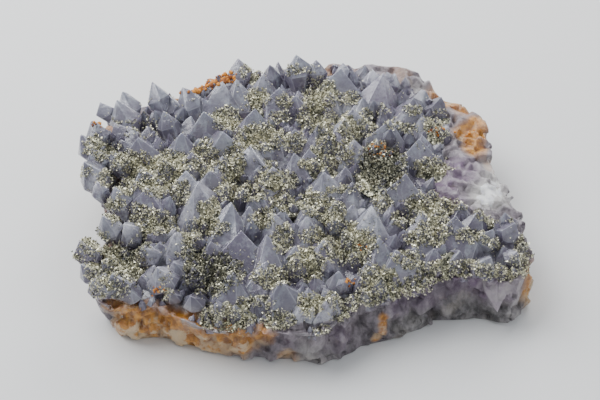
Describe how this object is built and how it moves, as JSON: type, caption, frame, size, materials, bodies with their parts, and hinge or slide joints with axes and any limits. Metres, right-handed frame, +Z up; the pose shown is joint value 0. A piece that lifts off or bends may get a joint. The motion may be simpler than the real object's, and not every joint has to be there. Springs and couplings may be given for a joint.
{
  "type": "chalcopyrite on quartz specimen",
  "caption": "Broken slab of lilac-grey quartz with a druse of stubby quartz points, its hollows crusted with tiny brassy chalcopyrite crystals, resting on a flat underside.",
  "frame": {"origin": "on the flat underside, near its middle, at the height that the specimen rests on", "axes": "+Z up through the druse, +X to the right along the longest side, +Y from the broken front side to the back"},
  "size_m": [0.1386, 0.1183, 0.0315],
  "materials": {
    "quartz": "glassy translucent crystal faces, dull broken sides with iron stains",
    "chalcopyrite": "metallic, slightly tarnished fine crystals"
  },
  "bodies": {
    "root": {"quartz_druse": "quartz", "chalcopyrite_main": "chalcopyrite", "chalcopyrite_centre": "chalcopyrite", "chalcopyrite_centre_right": "chalcopyrite", "chalcopyrite_centre_front": "chalcopyrite", "chalcopyrite_centre_left": "chalcopyrite", "chalcopyrite_middle": "chalcopyrite", "chalcopyrite_middle_left": "chalcopyrite", "chalcopyrite_middle_front": "chalcopyrite", "chalcopyrite_middle_right": "chalcopyrite", "chalcopyrite_back": "chalcopyrite", "chalcopyrite_back_middle": "chalcopyrite", "chalcopyrite_back_left_of_middle": "chalcopyrite", "chalcopyrite_back_rim": "chalcopyrite", "chalcopyrite_back_right": "chalcopyrite", "chalcopyrite_back_far_left": "chalcopyrite", "chalcopyrite_right": "chalcopyrite", "chalcopyrite_right_back": "chalcopyrite", "chalcopyrite_right_front": "chalcopyrite", "chalcopyrite_right_hollow": "chalcopyrite", "chalcopyrite_right_end": "chalcopyrite", "chalcopyrite_left_back": "chalcopyrite", "chalcopyrite_left_middle": "chalcopyrite", "chalcopyrite_left_inner": "chalcopyrite", "chalcopyrite_left": "chalcopyrite", "chalcopyrite_left_rim": "chalcopyrite", "chalcopyrite_left_hollow": "chalcopyrite", "chalcopyrite_left_centre": "chalcopyrite", "chalcopyrite_front_left_rim": "chalcopyrite", "chalcopyrite_front_left_inner": "chalcopyrite", "chalcopyrite_front_hollow": "chalcopyrite", "chalcopyrite_front_left": "chalcopyrite", "chalcopyrite_front_middle": "chalcopyrite", "chalcopyrite_front_right": "chalcopyrite", "chalcopyrite_front_rim": "chalcopyrite", "chalcopyrite_front_right_ledge": "chalcopyrite", "chalcopyrite_front_right_rim": "chalcopyrite"}
  },
  "joints": []
}
